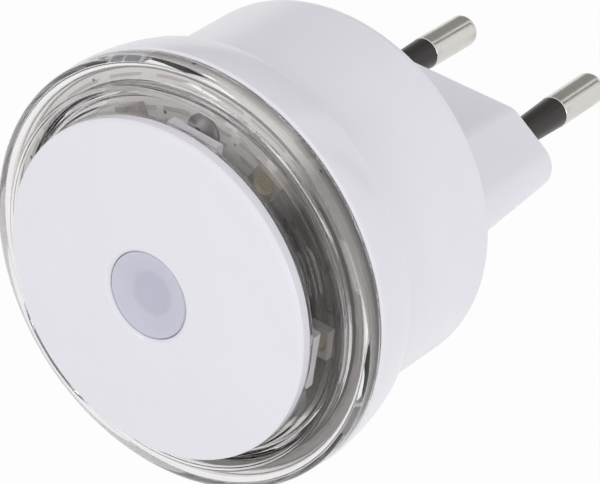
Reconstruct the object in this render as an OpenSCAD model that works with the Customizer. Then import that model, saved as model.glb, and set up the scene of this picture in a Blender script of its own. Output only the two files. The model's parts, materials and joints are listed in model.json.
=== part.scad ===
// Round plug-in night light with a clear light ring and a dusk sensor in the middle of its face.
// Frame: +Y points into the wall socket, +Z is up, and the origin lies midway between the two
// pins on the engagement face. Sizes are in millimetres.

/* [Front disc] */
// Diameter of the white front disc
disc_d = 40.5; // [39:0.5:50]
// Thickness of the front disc at its rim
disc_t = 1.5; // [1.2:0.1:2]
// Height of the shallow crown in the middle of the disc
disc_crown = 1.3; // [0.4:0.1:1.8]
// Width of the bevel round the rim of the disc and round its hole
disc_bevel = 0.35; // [0.2:0.05:0.5]

/* [Sensor window] */
// Diameter of the frosted window of the dusk sensor
window_d = 10.3; // [9.8:0.1:11]
// Diameter of the thin clear spot in the middle of the window
spot_d = 5.4; // [4:0.1:6]
// Depth of the dish between the rim of the window and the spot
dish_depth = 0.8; // [0.4:0.1:0.9]
// How far the window sits below the face of the disc
window_sink = 0.3; // [0.2:0.05:0.4]

/* [Light ring] */
// Height of the clear wall that lifts the disc over the bead
ring_wall_h = 5.3; // [4.4:0.1:7]
// How far the foot of that wall stands out past the disc
ring_flare = 1.0; // [0.5:0.1:2]
// Width of the half-round bead
bead_w = 4.5; // [4:0.1:6.4]
// Straight skirt between the bead and the bezel
ring_skirt = 1.7; // [0.8:0.1:2.5]
// Wall of the clear ring
ring_wall = 1.3; // [1:0.1:1.6]

/* [Bezel] */
// Length of the white bezel along the lamp
bezel_len = 7.0; // [6.5:0.1:12]
// How much smaller in radius the back of the bezel is than its front
bezel_drop = 1.1; // [0.8:0.1:2]
// Wall of the bezel
bezel_wall = 2.2; // [2:0.1:2.6]

/* [Drum housing] */
// Length of the drum behind the bezel
drum_len = 18.9; // [17:0.1:30]
// Step in radius from the back of the bezel down to the drum
drum_step = 2.25; // [1.6:0.05:3]
// Wall of the drum
drum_wall = 1.7; // [1.4:0.1:2.4]
// Radius of the drum's rear edge
drum_edge_r = 1.6; // [0.8:0.1:3]

/* [Plug body] */
// Length of the plug body behind the drum
plug_len = 21.3; // [18:0.1:30]
// Width of the plug body at the engagement face
plug_w = 33.8; // [33:0.1:36]
// Thickness of the plug body at the engagement face
plug_t = 11.7; // [10.8:0.1:14]
// Length of the flat top and bottom of the plug body
plug_flat = 24.6; // [22:0.1:26]
// How much the plug body widens towards the drum
plug_draft = 1.4; // [0:0.1:2.4]
// Wall of the plug body
plug_wall = 1.9; // [1.5:0.1:2.3]
// Thickness of the wall that carries the pins
face_wall = 3.4; // [2.6:0.1:4.5]

/* [Pins] */
// Diameter of the bare end of a pin
pin_d = 4.0; // [3.3:0.01:4.8]
// Length of a pin in front of the engagement face
pin_len = 19.5; // [16:0.5:23]
// Distance between the pins at the engagement face
pin_pitch = 19.1; // [18:0.1:19.2]
// How far the tip of each pin leans in
pin_lean = 0.2; // [0:0.05:0.6]
// Outer diameter of an insulating sleeve at the engagement face
sleeve_root_d = 3.3; // [3:0.05:3.8]
// Outer diameter of a sleeve where it meets the bare end
sleeve_d = 3.9; // [3.3:0.05:4.8]
// Length of a sleeve in front of the engagement face
sleeve_len = 10.5; // [9:0.1:12]

/* [Circuit board] */
// Thickness of the board
board_t = 1.6; // [1:0.1:2]
// Depth of the board behind the foot of the clear wall
board_gap = 1.2; // [1:0.1:1.8]
// Number of lamps round the board
led_count = 6; // [3:3:6]
// Diameter of a board screw
screw_d = 2.2; // [2:0.1:2.6]

/* [Fits] */
// Gap between round pieces that fit in each other
fit_gap = 0.1; // [0.05:0.01:0.2]
// Gap between a sleeve and its pin and bore
sleeve_gap = 0.05; // [0.02:0.01:0.1]

/* [Hidden] */
$fn = 96;
small = 0.01;

// Places along the lamp, measured back from the rim of the disc
wall_z = ring_wall_h;
bezel_z = wall_z + ring_skirt;
drum_z = bezel_z + bezel_len;
back_z = drum_z + drum_len;
face_z = back_z + plug_len;
board_z = wall_z + board_gap;
board_back = board_z + board_t;

// Radii of the round pieces
disc_r = disc_d / 2;
foot_r = disc_r + ring_flare;
ring_r = foot_r + bead_w;
bezel_r = ring_r + fit_gap;
bezel_back_r = bezel_r - bezel_drop;
drum_r = bezel_back_r - drum_step;
drum_in_r = drum_r - drum_wall;
inner_r = drum_in_r - 3 * fit_gap;

// The seat under the disc and the fit of ring, bezel and drum
seat_w = 1.7;
seat_t = 1.2;
spigot_w = 0.7;
spigot_len = 2;
lip_w = 0.85;
spigot_r = bezel_r - lip_w - fit_gap;
board_r = spigot_r - spigot_w - 2 * fit_gap;
bezel_in_r = bezel_r - bezel_wall;
collar_t = 1.5;
collar_r = bezel_in_r - 2 * fit_gap;
flange_t = 1.4;

// Pins: a thin shank inside the sleeve, a collar in a recess behind the wall, and a solder tail
shank_d = sleeve_root_d - 0.9;
collar_d = sleeve_root_d + 2.1;
collar_len = 1.6;
collar_sink = 0.3;
collar_at = face_wall - collar_sink;
tail_d = 2;
tail_len = 5;
pin_angle = atan(pin_lean / pin_len);
clamp_t = 2.2;
clamp_side = 0.9;
clamp_z = face_z - collar_at - collar_len - clamp_t;
clamp_deep = face_z - face_wall - clamp_z;
tail_z = clamp_z - tail_len;

// Screws and their posts
post_r = 2.7;
post_at = inner_r - post_r - 0.4;
post_angles = [30, 150, 270];
screw_head_d = 1.9 * screw_d;
screw_head_t = 1.3;
screw_bite = 6.4;
clamp_bite = 2;
pilot_d = 0.8 * screw_d;
pilot_spare = 0.4;
clamp_screw_x = 3.4;

// Parts on the back of the board: x is to the right, y is down when the lamp is on the wall
cap_size = [13, 6, 11.5];
cap_at = [0, -8.5];
filter_d = 8;
filter_len = 11;
filter_at = [7.2, 8];
bridge_size = [8.2, 6.4, 3.2];
bridge_leg_w = 1;
bridge_leg_t = 0.3;
bridge_at = [-7.2, 8.2];
fuse_at = [-11, -3.2];
bleed_at = [10.8, -3];
zener_at = [0, 4.4];
transistor_at = [0, 12];
sensor_at = [0, 0];
wire_at = [11, -9];

// Leads: each goes straight through the board, in a hole that is wider by lead_gap all round
lead_d = 0.6;
lead_gap = 0.2;
lead_end = 0.8;
stand_off = 0.3;
function pair(at, pitch) = [for (s = [-1, 1]) at + [s * pitch / 2, 0]];
function axial_pitch(length) = length + 2.4;
cap_leads = pair(cap_at, 10);
filter_leads = pair(filter_at, 3.5);
bridge_leads = [for (sy = [-1, 1])
    each pair(bridge_at + [0, sy * (bridge_size[1] + bridge_leg_t) / 2], 5.08)];
fuse_len = 8.5;
fuse_leads = pair(fuse_at, axial_pitch(fuse_len));
bleed_len = 6.3;
bleed_leads = pair(bleed_at, axial_pitch(bleed_len));
zener_len = 4;
zener_leads = pair(zener_at, axial_pitch(zener_len));
transistor_leads = [for (s = [-1, 0, 1]) transistor_at + [s * 1.27, 0]];
sensor_leads = pair(sensor_at, 2.2);
wire_pads = [for (side = [-1, 1]) [side * wire_at[0], wire_at[1]]];
all_leads = concat(cap_leads, filter_leads, bridge_leads, fuse_leads, bleed_leads, zener_leads,
                   transistor_leads, sensor_leads, wire_pads);

// Puts a child that is built back from the disc's rim into the lamp's own frame
module lamp_axis() {
    rotate([-90, 0, 0]) translate([0, 0, -face_z]) children();
}

// Puts a child at the foot of a pin, with the pin's own direction as +Z
module at_pin(side) {
    translate([side * pin_pitch / 2, 0, 0]) rotate([0, 0, side * pin_angle])
        rotate([-90, 0, 0]) children();
}

module tube(r_out, r_in, z0, z1) {
    translate([0, 0, z0]) difference() {
        cylinder(r = r_out, h = z1 - z0);
        translate([0, 0, -1]) cylinder(r = r_in, h = z1 - z0 + 2);
    }
}

// A ring of copies at a radius, one for each angle
module ring_of(angles, radius) {
    for (a = angles) rotate([0, 0, a]) translate([radius, 0, 0]) children();
}

// Round leads from one depth to another, at each place on the board
module leads(places, z0, z1) {
    for (p = places) translate([p[0], p[1], z0]) cylinder(d = lead_d, h = z1 - z0, $fn = 24);
}

// Outline of the plug body, one point for each direction, from six circles: two large ones make
// the rounded ends and four small ones the corners of the flats. It grows by larger radii
// about the same centres, so that the sides of the body stay straight from end to end
outline_steps = 64;
end_r = 3;
corner_r = 2.5;
outline_circles = [
    for (sx = [-1, 1]) [sx * (plug_w / 2 - end_r), 0, end_r],
    for (sx = [-1, 1], sy = [-1, 1])
        [sx * (plug_flat / 2 - corner_r), sy * (plug_t / 2 - corner_r), corner_r]];
function farthest(dir) =
    let (reach = [for (c = outline_circles) c[0] * dir[0] + c[1] * dir[1] + c[2]])
    outline_circles[search(max(reach), reach)[0]];
function outline_point(dir, grow) = let (c = farthest(dir)) [c[0], c[1]] + (c[2] + grow) * dir;
function outline(grow) =
    [for (i = [0 : outline_steps - 1])
        let (a = (i + 0.5) * 360 / outline_steps) outline_point([cos(a), sin(a)], grow)];

// Skin through a list of rings that all have the same number of points
module loft(rings) {
    n = len(rings[0]);
    last = len(rings) - 1;
    polyhedron(
        points = [for (ring = rings) each ring],
        faces = [
            [for (i = [n - 1 : -1 : 0]) n - 1 - i],
            [for (i = [0 : n - 1]) last * n + n - 1 - i],
            for (k = [0 : last - 1], i = [0 : n - 1]) let (j = (i + 1) % n)
                each [[k * n + i, (k + 1) * n + j, k * n + j],
                      [k * n + i, (k + 1) * n + i, (k + 1) * n + j]]],
        convexity = 4);
}

// Plug body as a loft: drafted sides, and a rounded edge round the engagement face
face_edge_r = 1.2;
edge_steps = 4;
function plug_ring(z, inset) =
    let (share = (face_z - z) / plug_len)
    [for (p = outline(plug_draft * share - inset)) [p[0], p[1], z]];
module plug_form() {
    loft(concat(
        [plug_ring(back_z - drum_wall / 2, 0)],
        [for (i = [0 : edge_steps]) let (a = i * 90 / edge_steps)
            plug_ring(face_z - face_edge_r * (1 - sin(a)), face_edge_r * (1 - cos(a)))]));
}
module plug_hollow() {
    loft([plug_ring(back_z - drum_wall - 1, plug_wall + plug_draft),
          plug_ring(face_z - face_wall, plug_wall)]);
}

// Depth of the disc's crowned face at a radius: zero at the rim, highest in the middle
function crown_z(r) = disc_crown * (r * r / (disc_r * disc_r) - 1);

// White disc with a shallow crown, a bevelled rim and hole, a bush for the sensor window, and four
// arms that drop into the light ring, each with a hook that catches under the ring's seat
arm_angles = [3, 93, 183, 273];
module front_disc() {
    crown_steps = 20;
    crown_at = [for (i = [0 : crown_steps]) i * (disc_r - disc_bevel) / crown_steps];
    arm_r = disc_r - seat_w - fit_gap;
    arm_t = 1.1;
    arm_w = 6.5;
    hook_z = disc_t + seat_t + fit_gap;
    hook_out = 0.6;
    hook_t = 1.4;
    hole_r = window_d / 2 + fit_gap;
    bush_wall = 1.5;
    bush_z = disc_t + 2.2;
    shelf_r = hole_r - 0.8;
    lip_r = hole_r + disc_bevel;
    color("white") lamp_axis() {
        rotate_extrude() difference() {
            union() {
                polygon(concat(
                    [for (r = crown_at) [r, crown_z(r)]],
                    [[disc_r, disc_bevel], [disc_r, disc_t]],
                    [for (i = [crown_steps : -1 : 0]) [crown_at[i], crown_z(crown_at[i]) + disc_t]]));
                translate([arm_r - arm_t, disc_bevel]) square([disc_r - arm_r + arm_t, disc_t - disc_bevel]);
                square([hole_r + bush_wall, bush_z]);
            }
            polygon([[0, -disc_crown - 1], [lip_r, -disc_crown - 1], [lip_r, crown_z(lip_r)],
                     [hole_r, crown_z(lip_r) + disc_bevel], [hole_r, disc_t], [shelf_r, disc_t],
                     [shelf_r, bush_z + 1], [0, bush_z + 1]]);
        }
        intersection() {
            union() {
                tube(arm_r, arm_r - arm_t, disc_t - small, hook_z + hook_t);
                tube(arm_r + hook_out, arm_r - arm_t, hook_z, hook_z + hook_t);
            }
            ring_of(arm_angles, arm_r) translate([-arm_w / 2, -arm_w / 2, 0])
                cube([arm_w, arm_w, 2 * hook_z]);
        }
    }
}

// Frosted window: a dished rim round a thin clear spot, with a rib behind that centres it
module sensor_window() {
    rim_r = window_d / 2;
    spot_r = spot_d / 2;
    rim_z = crown_z(rim_r) + window_sink;
    spot_z = rim_z + dish_depth;
    rim_round = 0.3;
    rib_r = rim_r - 1.2;
    rib_back = disc_t + 0.9;
    skin = 0.7;
    color("lightsteelblue") lamp_axis() rotate_extrude() polygon([
        [0, spot_z], [spot_r, spot_z], [rim_r - 2 * rim_round, rim_z + 0.1], [rim_r - rim_round, rim_z],
        [rim_r, rim_z + rim_round], [rim_r, disc_t], [rib_r, disc_t], [rib_r, rib_back],
        [spot_r + skin, rib_back], [spot_r, spot_z + skin], [0, spot_z + skin]]);
}

// Dark hood that keeps the light of the lamps off the sensor, on a foot that stands on the board
module sensor_hood() {
    hood_r = window_d / 2 - 1.4;
    hood_wall = 0.9;
    color("dimgray") lamp_axis() {
        tube(hood_r, hood_r - hood_wall, disc_t + 1.1, board_z);
        tube(hood_r + hood_wall, hood_r - small, board_z - hood_wall, board_z);
    }
}

// Clear ring in one moulding, seen in section: a seat under the disc, a flared wall, a hollow
// half-round bead, a skirt behind it, and a spigot that fits in the bezel
module light_ring() {
    bead_r = bead_w / 2;
    bead_at = foot_r + bead_r;
    web_t = 0.6;
    color("gray", 0.5) lamp_axis() rotate_extrude() {
        translate([disc_r - seat_w, disc_t]) square([seat_w, seat_t]);
        polygon([[disc_r - ring_wall, disc_t], [disc_r, disc_t], [foot_r, wall_z],
                 [foot_r, wall_z + web_t], [foot_r - ring_wall, wall_z + web_t]]);
        difference() {
            translate([bead_at, wall_z]) circle(r = bead_r);
            translate([bead_at, wall_z]) circle(r = bead_r - ring_wall);
            translate([0, wall_z]) square([2 * ring_r, bead_w]);
        }
        translate([foot_r - small, wall_z - small]) square([ring_wall + small, web_t + small]);
        translate([ring_r - ring_wall, wall_z - small]) square([ring_wall, ring_skirt + small]);
        translate([spigot_r - spigot_w, wall_z]) square([spigot_w, ring_skirt + spigot_len]);
    }
}

// White bezel: a barrel-shaped skin, a rebate for the light ring's spigot, and a flange behind
// that holds the collar of the drum
module bezel_ring() {
    arc_r = (bezel_len * bezel_len + bezel_drop * bezel_drop) / 2 / bezel_drop;
    front_edge = 0.4;
    back_edge = 0.5;
    bore_r = drum_r + fit_gap;
    color("white") lamp_axis() rotate_extrude() difference() {
        intersection() {
            translate([bezel_r - arc_r, bezel_z]) circle(r = arc_r, $fn = 720);
            polygon([[bore_r, bezel_z], [bezel_r - front_edge, bezel_z], [bezel_r, bezel_z + front_edge],
                     [bezel_r, drum_z], [bore_r, drum_z]]);
        }
        translate([0, bezel_z - 1]) square([bezel_in_r, bezel_len - flange_t + 1]);
        translate([0, bezel_z - 1]) square([bezel_r - lip_w, spigot_len + fit_gap + 1]);
        translate([bezel_back_r, drum_z]) rotate(45) square(sqrt(2) * back_edge, center = true);
    }
}

// Drum, rear wall and plug body in one moulding, with a collar that the bezel holds, webbed screw
// posts, ribs along the wall, sleeve bores, recesses for the pins' collars and pilot holes
module rear_housing() {
    rim_z = board_back;
    inner_back = back_z - drum_wall;
    post_len = inner_back + small - board_back;
    rib_t = 1.2;
    rib_deep = 1.6;
    rib_z = board_back + 0.6;
    rib_len = inner_back + small - rib_z;
    color("white") difference() {
        union() {
            lamp_axis() {
                rotate_extrude() difference() {
                    union() {
                        translate([0, rim_z]) square([drum_r, back_z - rim_z - drum_edge_r]);
                        translate([0, rim_z]) square([drum_r - drum_edge_r, back_z - rim_z]);
                        translate([drum_r - drum_edge_r, back_z - drum_edge_r]) circle(r = drum_edge_r);
                        translate([0, drum_z - flange_t - collar_t]) square([collar_r, collar_t]);
                    }
                    translate([0, rim_z - 1]) square([drum_in_r, inner_back - rim_z + 1]);
                }
                plug_form();
                ring_of(post_angles, post_at) {
                    translate([0, 0, board_back]) cylinder(r = post_r, h = post_len, $fn = 48);
                    translate([0, -rib_t / 2, rib_z]) cube([drum_in_r + small - post_at, rib_t, rib_len]);
                }
                ring_of([for (a = post_angles) each [a - 30, a + 30]], drum_in_r - rib_deep)
                    translate([0, -rib_t / 2, rib_z]) cube([rib_deep + small, rib_t, rib_len]);
            }
        }
        lamp_axis() {
            plug_hollow();
            ring_of(post_angles, post_at) translate([0, 0, board_back - 1])
                cylinder(d = pilot_d, h = screw_bite + pilot_spare + 1, $fn = 24);
            for (sx = [-1, 1]) translate([sx * clamp_screw_x, 0, face_z - face_wall - 1])
                cylinder(d = pilot_d, h = clamp_bite + pilot_spare + 1, $fn = 24);
        }
        for (side = [-1, 1]) at_pin(side) {
            translate([0, 0, -face_wall - 1])
                cylinder(d = sleeve_root_d + 2 * sleeve_gap, h = face_wall + 3);
            translate([0, 0, -face_wall - 1]) cylinder(d = collar_d + 2 * fit_gap, h = collar_sink + 1);
        }
    }
}

// One pin: bare end with a rounded tip, shank under the sleeve, collar and solder tail
module pin(side) {
    bare_r = pin_d / 2;
    tip_r = 0.3 * pin_d;
    color("silver") at_pin(side) rotate_extrude() {
        translate([0, sleeve_len]) square([bare_r, pin_len - sleeve_len - tip_r]);
        translate([0, pin_len - tip_r - small]) square([bare_r - tip_r, tip_r + small]);
        intersection() {
            translate([bare_r - tip_r, pin_len - tip_r]) circle(r = tip_r, $fn = 64);
            translate([0, sleeve_len]) square([bare_r, pin_len]);
        }
        translate([0, -collar_at - small]) square([shank_d / 2, collar_at + sleeve_len + 2 * small]);
        translate([0, -collar_at - collar_len]) square([collar_d / 2, collar_len]);
        translate([0, -collar_at - collar_len - clamp_t - tail_len])
            square([tail_d / 2, clamp_t + tail_len + small]);
    }
}

// Black insulating sleeve, from the pin's collar to the bare end: straight through the wall and a
// little past it, then slightly flared
sleeve_straight = 3;
module sleeve(side) {
    root_r = sleeve_root_d / 2;
    bore_r = shank_d / 2 + sleeve_gap;
    end_z = sleeve_len - sleeve_gap;
    color("black") at_pin(side) rotate_extrude() polygon([
        [bore_r, -collar_at], [root_r, -collar_at], [root_r, sleeve_straight], [sleeve_d / 2, end_z],
        [bore_r, end_z]]);
}

// Plate with round ends that presses the collars of both pins against the wall, and a block on it
// between the pins that stands on the wall
module pin_clamp() {
    plate_h = plug_t - 2 * (plug_wall + clamp_side);
    block_w = 2 * clamp_screw_x + screw_head_d + 0.6;
    color("gainsboro") difference() {
        lamp_axis() {
            translate([-pin_pitch / 2, -plate_h / 2, clamp_z]) cube([pin_pitch, plate_h, clamp_t - fit_gap]);
            for (sx = [-1, 1]) translate([sx * pin_pitch / 2, 0, clamp_z])
                cylinder(d = plate_h, h = clamp_t - fit_gap);
            translate([-block_w / 2, -plate_h / 2, clamp_z]) cube([block_w, plate_h, clamp_deep]);
        }
        for (side = [-1, 1]) at_pin(side) translate([0, 0, -collar_at - collar_len - clamp_t - 1])
            cylinder(d = tail_d + 2 * fit_gap, h = clamp_t + 2, $fn = 48);
        lamp_axis() for (sx = [-1, 1]) translate([sx * clamp_screw_x, 0, clamp_z - 1])
            cylinder(d = screw_d + 2 * fit_gap, h = clamp_deep + 2, $fn = 32);
    }
}

// Screw with a domed head and a cross recess; its head rests at z = 0 and it drives along +z
module screw(length) {
    dome_r = 2 * screw_head_t;
    slot_l = 1.8;
    slot_w = 0.4;
    slot_deep = 0.8;
    difference() {
        union() {
            rotate_extrude() intersection() {
                translate([0, dome_r - screw_head_t]) circle(r = dome_r, $fn = 64);
                translate([0, -screw_head_t]) square([screw_head_d / 2, screw_head_t]);
            }
            translate([0, 0, -small]) cylinder(d = pilot_d, h = length + small, $fn = 24);
        }
        for (a = [0, 90]) rotate([0, 0, a]) translate([-slot_l / 2, -slot_w / 2, -screw_head_t - 1])
            cube([slot_l, slot_w, slot_deep + 1]);
    }
}
module clamp_screws() {
    color("silver") lamp_axis() for (sx = [-1, 1]) translate([sx * clamp_screw_x, 0, clamp_z])
        screw(clamp_deep + clamp_bite);
}
module board_screws() {
    color("silver") lamp_axis() ring_of(post_angles, post_at) translate([0, 0, board_z])
        screw(board_t + screw_bite);
}

// Insulated wire from a pin's tail to the board, swept with eight sides, and its bare end
wire_d = 1.5;
wire_rings = 28;
wire_bow = 2.4;
wire_gap = 0.05;
function wire_point(side, t) =
    let (z0 = tail_z - wire_gap, x0 = pin_pitch / 2 + (face_z - tail_z) * tan(pin_angle),
         s = t * t * (3 - 2 * t))
    [side * (x0 + (wire_at[0] - x0) * s - wire_bow * pow(sin(180 * t), 2)),
     wire_at[1] * s,
     z0 + (board_back - z0) * t];
module wire(side) {
    color(side < 0 ? "saddlebrown" : "royalblue") lamp_axis() {
        loft([for (k = [wire_rings : -1 : 0]) let (p = wire_point(side, k / wire_rings))
            [for (i = [0 : 7]) p + wire_d / 2 * [cos(45 * i), sin(45 * i), 0]]]);
        leads([[side * wire_at[0], wire_at[1]]], board_z - lead_end, board_back + wire_d);
    }
}

// Round board with a hole for each screw and each lead
module circuit_board() {
    color("saddlebrown") lamp_axis() difference() {
        translate([0, 0, board_z]) cylinder(r = board_r, h = board_t);
        ring_of(post_angles, post_at) translate([0, 0, board_z - 1])
            cylinder(d = screw_d + 2 * fit_gap, h = board_t + 2, $fn = 32);
        for (p = all_leads) translate([p[0], p[1], board_z - 1])
            cylinder(d = lead_d + 2 * lead_gap, h = board_t + 2, $fn = 24);
    }
}

// Lamps round the edge of the board: a white body with a round dished window
led_size = [2.8, 3.5, 1.1];
led_at = inner_r - 2.6;
module led_lamps() {
    well_deep = 0.4;
    color("khaki") lamp_axis() ring_of([for (i = [0 : led_count - 1]) i * 360 / led_count], led_at)
        translate([0, 0, board_z - led_size[2]]) difference() {
            translate([-led_size[0] / 2, -led_size[1] / 2, 0]) cube(led_size);
            translate([0, 0, -small]) cylinder(r1 = 1.25, r2 = 0.9, h = well_deep + small, $fn = 48);
        }
}

// Round sensor in the middle of the hood, on two leads
module light_sensor() {
    body_z = board_z - 2.6;
    body_t = 1.6;
    color("tan") lamp_axis() {
        translate([sensor_at[0], sensor_at[1], body_z]) cylinder(d = 4.2, h = body_t, $fn = 48);
        leads(sensor_leads, body_z + body_t - small, board_back + lead_end);
    }
}

// Film capacitor: a moulded box on two leads
module film_capacitor() {
    color("goldenrod") lamp_axis() {
        translate([cap_at[0], cap_at[1], board_back + stand_off])
            translate([-cap_size[0] / 2, -cap_size[1] / 2, 0]) cube(cap_size);
        leads(cap_leads, board_z - lead_end, board_back + stand_off + small);
    }
}

// Electrolytic capacitor: a can with a crimped groove and a vent cross on its top
module filter_capacitor() {
    groove_r = 0.6;
    vent = [4.8, 0.3, 0.3];
    color("midnightblue") lamp_axis() {
        translate([filter_at[0], filter_at[1], board_back + stand_off]) difference() {
            cylinder(d = filter_d, h = filter_len);
            translate([0, 0, 1.6]) rotate_extrude() translate([filter_d / 2 + groove_r / 2, 0])
                circle(r = groove_r, $fn = 32);
            for (a = [0, 90]) rotate([0, 0, a]) translate([-vent[0] / 2, -vent[1] / 2, filter_len - vent[2]])
                cube([vent[0], vent[1], 1]);
        }
        leads(filter_leads, board_z - lead_end, board_back + stand_off + small);
    }
}

// Bridge rectifier: a flat block with a leg down each side at both ends
module bridge_rectifier() {
    leg_rise = stand_off + bridge_size[2] / 2;
    color("dimgray") lamp_axis() {
        translate([bridge_at[0], bridge_at[1], board_back + stand_off])
            translate([-bridge_size[0] / 2, -bridge_size[1] / 2, 0]) cube(bridge_size);
        for (p = bridge_leads) translate([p[0] - bridge_leg_w / 2, p[1] - bridge_leg_t / 2, board_back])
            cube([bridge_leg_w, bridge_leg_t, leg_rise]);
        leads(bridge_leads, board_z - lead_end, board_back + small);
    }
}

// Part with a round body that lies just off the board, on two leads that bend down to it
module axial_part(at, places, d, length) {
    lift = board_back + stand_off + d / 2;
    reach_x = axial_pitch(length);
    translate([at[0], at[1], lift]) rotate([0, 90, 0]) {
        cylinder(d = d, h = length, center = true, $fn = 48);
        cylinder(d = lead_d, h = reach_x, center = true, $fn = 24);
    }
    leads(places, board_z - lead_end, lift);
    for (p = places) translate([p[0], p[1], lift]) sphere(d = lead_d, $fn = 24);
}
module fuse_resistor() {
    color("steelblue") lamp_axis() axial_part(fuse_at, fuse_leads, 3.4, fuse_len);
}
module bleed_resistor() {
    color("burlywood") lamp_axis() axial_part(bleed_at, bleed_leads, 2.4, bleed_len);
}
module zener_diode() {
    color("orangered") lamp_axis() axial_part(zener_at, zener_leads, 1.9, zener_len);
}

// Small transistor: a round body with one flat side, on three legs
module switch_transistor() {
    body_lift = 1.8;
    body_len = 4.5;
    body_d = 4.6;
    flat_at = 1.4;
    color("black") lamp_axis() {
        translate([transistor_at[0], transistor_at[1], board_back + body_lift]) difference() {
            cylinder(d = body_d, h = body_len, $fn = 48);
            translate([-body_d / 2, flat_at, -1]) cube([body_d, body_d, body_len + 2]);
        }
        leads(transistor_leads, board_z - lead_end, board_back + body_lift + small);
    }
}

front_disc();
sensor_window();
sensor_hood();
light_ring();
bezel_ring();
rear_housing();
pin(-1);  // pin_left
pin(1);  // pin_right
sleeve(-1);  // sleeve_left
sleeve(1);  // sleeve_right
pin_clamp();
clamp_screws();
wire(-1);  // wire_left
wire(1);  // wire_right
circuit_board();
board_screws();
led_lamps();
light_sensor();
film_capacitor();
filter_capacitor();
bridge_rectifier();
fuse_resistor();
bleed_resistor();
zener_diode();
switch_transistor();
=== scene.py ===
"""Looks of a round plug-in night light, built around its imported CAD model.

Places are in the frame of the CAD model: +Y points into the wall socket, +Z is up, and the origin lies on the
engagement face, midway between the pins. Sizes are in millimetres until a mesh is made, which is in metres.
"""

import contextlib
import functools
import json
import logging
import math
from dataclasses import dataclass
from enum import Enum
from typing import Any, Callable, Iterator, Sequence, Union

import bmesh
import bpy
from mathutils import Matrix, Vector

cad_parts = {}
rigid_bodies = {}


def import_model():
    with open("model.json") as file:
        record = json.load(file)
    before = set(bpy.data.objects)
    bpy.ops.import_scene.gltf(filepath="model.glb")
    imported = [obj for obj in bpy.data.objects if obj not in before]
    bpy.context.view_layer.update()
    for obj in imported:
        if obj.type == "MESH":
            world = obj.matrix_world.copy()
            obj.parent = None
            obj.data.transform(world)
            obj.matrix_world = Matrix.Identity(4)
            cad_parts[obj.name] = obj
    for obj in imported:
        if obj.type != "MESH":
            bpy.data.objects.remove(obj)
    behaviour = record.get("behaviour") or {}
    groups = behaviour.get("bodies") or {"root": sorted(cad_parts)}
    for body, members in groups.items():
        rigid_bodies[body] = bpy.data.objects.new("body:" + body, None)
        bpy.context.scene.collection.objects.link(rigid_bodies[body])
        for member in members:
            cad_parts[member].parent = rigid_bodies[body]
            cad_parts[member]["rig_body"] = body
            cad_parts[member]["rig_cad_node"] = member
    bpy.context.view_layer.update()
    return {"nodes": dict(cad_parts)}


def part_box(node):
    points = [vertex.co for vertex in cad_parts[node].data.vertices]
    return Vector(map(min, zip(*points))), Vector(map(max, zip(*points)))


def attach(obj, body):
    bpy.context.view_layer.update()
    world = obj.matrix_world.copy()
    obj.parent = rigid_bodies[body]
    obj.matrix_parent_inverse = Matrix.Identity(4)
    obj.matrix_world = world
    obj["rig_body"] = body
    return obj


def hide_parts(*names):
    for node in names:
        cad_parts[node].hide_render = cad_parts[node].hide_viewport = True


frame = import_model()

log = logging.getLogger("night_light")
MM = 0.001
# In metres. Vertices nearer than TOUCH are one, those within LEVEL of a plane lie in it, and those nearer than
# WELD are merged.
TOUCH, LEVEL, WELD = 1e-7, 1e-6, 0.0004 * MM
# A face looks along an axis when its normal's share of that axis is past this.
FACING = 0.9
Colour = Point = tuple[float, float, float]
WHITE: Colour = (1.0, 1.0, 1.0)


# ---------- materials


class Flow:
    """A number that changes over a surface. Arithmetic on it adds Math nodes to its material."""

    def __init__(self, graph: "Graph", socket: bpy.types.NodeSocket) -> None:
        """Wraps one output socket of a material."""
        self.graph, self.socket = graph, socket

    def __add__(self, other: "Number") -> "Flow":
        """This plus other."""
        return self.graph.math("ADD", self, other)

    def __sub__(self, other: "Number") -> "Flow":
        """This minus other."""
        return self.graph.math("SUBTRACT", self, other)

    def __rsub__(self, other: "Number") -> "Flow":
        """Other minus this."""
        return self.graph.math("SUBTRACT", other, self)

    def __mul__(self, other: "Number") -> "Flow":
        """This times other."""
        return self.graph.math("MULTIPLY", self, other)

    def __truediv__(self, other: "Number") -> "Flow":
        """This divided by other."""
        return self.graph.math("DIVIDE", self, other)

    def __abs__(self) -> "Flow":
        """This without its sign."""
        return self.graph.math("ABSOLUTE", self)

    def __lt__(self, other: "Number") -> "Flow":
        """One where this is less than other, and zero elsewhere."""
        return self.graph.math("LESS_THAN", self, other)

    def __gt__(self, other: "Number") -> "Flow":
        """One where this is greater than other, and zero elsewhere."""
        return self.graph.math("GREATER_THAN", self, other)

    __radd__, __rmul__ = __add__, __mul__


Number = Union[Flow, float]


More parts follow.
